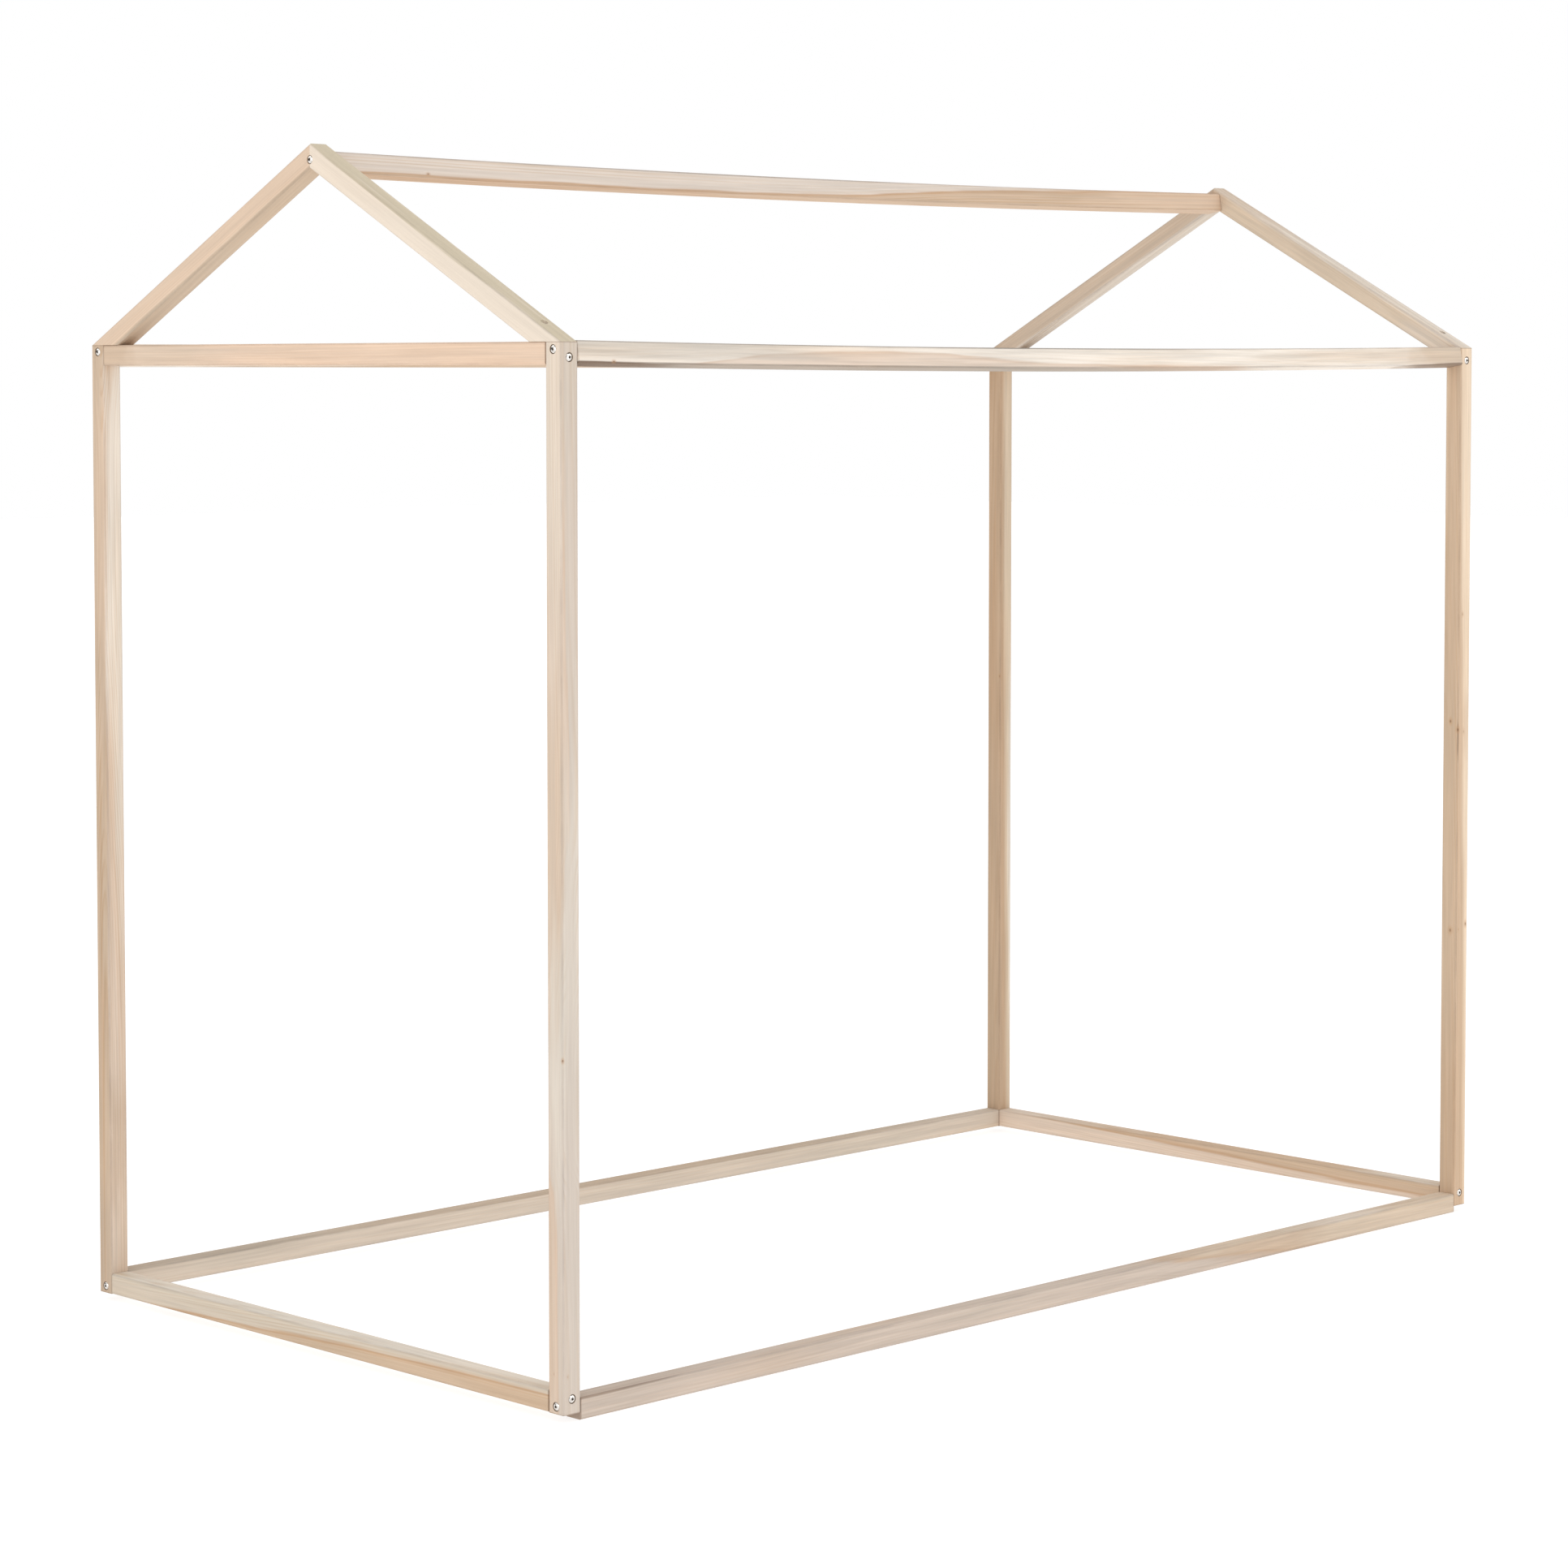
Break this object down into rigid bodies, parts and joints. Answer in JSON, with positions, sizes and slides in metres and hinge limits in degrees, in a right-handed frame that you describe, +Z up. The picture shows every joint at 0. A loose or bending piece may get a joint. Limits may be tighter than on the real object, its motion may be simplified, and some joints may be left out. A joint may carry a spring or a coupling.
{
  "type": "house frame bed",
  "caption": "House-shaped bed frame in square softwood: corner posts, rails round the floor and the top, and pitched gables joined by a ridge beam, screwed together.",
  "frame": {"origin": "on the floor, under the middle of the frame", "axes": "+X along the bed, +Y across it from the front side to the back, +Z up"},
  "size_m": [2.1012, 1.11, 1.795],
  "materials": {
    "timber": "planed and sanded softwood, unfinished",
    "screw_steel": "bright zinc plated steel"
  },
  "bodies": {
    "root": {"post_front_left": "timber", "post_front_right": "timber", "post_back_left": "timber", "post_back_right": "timber", "top_rail_front": "timber", "top_rail_back": "timber", "top_rail_left": "timber", "top_rail_right": "timber", "bottom_rail_front": "timber", "bottom_rail_back": "timber", "bottom_rail_left": "timber", "bottom_rail_right": "timber", "rafter_left_front": "timber", "rafter_left_back": "timber", "rafter_right_front": "timber", "rafter_right_back": "timber", "ridge_beam": "timber", "screws_top_long_rails": "screw_steel", "screws_bottom_long_rails": "screw_steel", "screws_top_cross_rails": "screw_steel", "screws_bottom_cross_rails": "screw_steel", "screws_ridge": "screw_steel", "screws_rafter_feet": "screw_steel"}
  },
  "joints": []
}
